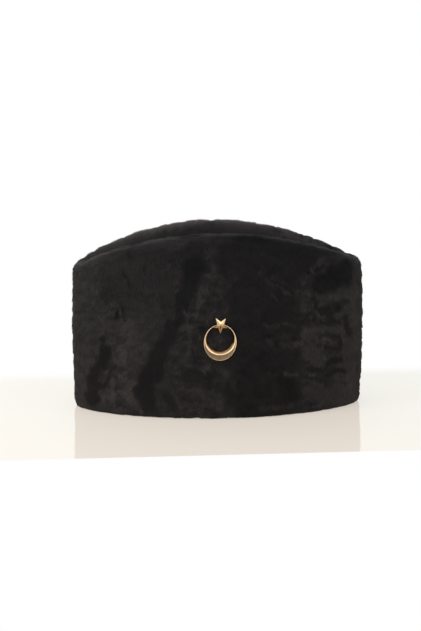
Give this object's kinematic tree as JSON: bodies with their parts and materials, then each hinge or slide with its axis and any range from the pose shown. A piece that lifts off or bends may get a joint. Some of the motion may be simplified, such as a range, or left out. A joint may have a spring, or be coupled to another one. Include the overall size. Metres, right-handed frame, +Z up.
{
  "type": "fur kalpak hat with crescent and star badge",
  "caption": "Tall black lambskin kalpak with a broad flat front, arched rims over a sunken lengthwise crown valley, and a gilt crescent and star badge pinned low on the front.",
  "frame": {"origin": "centre of the bounding box's bottom, on the surface that the hem rests on", "axes": "+X to the wearer's left, along the hat's broad face; -Y out of the front, where the badge is; +Z up"},
  "size_m": [0.2536, 0.1412, 0.1548],
  "materials": {
    "black_fur": "short, dense, sheared lambskin pile with moire swirls, soft sheen at grazing angles, black hide inside",
    "gilt_brass": "polished gilt, a little worn",
    "pin_steel": "plain steel"
  },
  "bodies": {
    "root": {"front_panel": "black_fur", "back_panel": "black_fur", "crown_panel": "black_fur", "crescent_star_badge": "gilt_brass", "badge_pin": "pin_steel"}
  },
  "joints": []
}
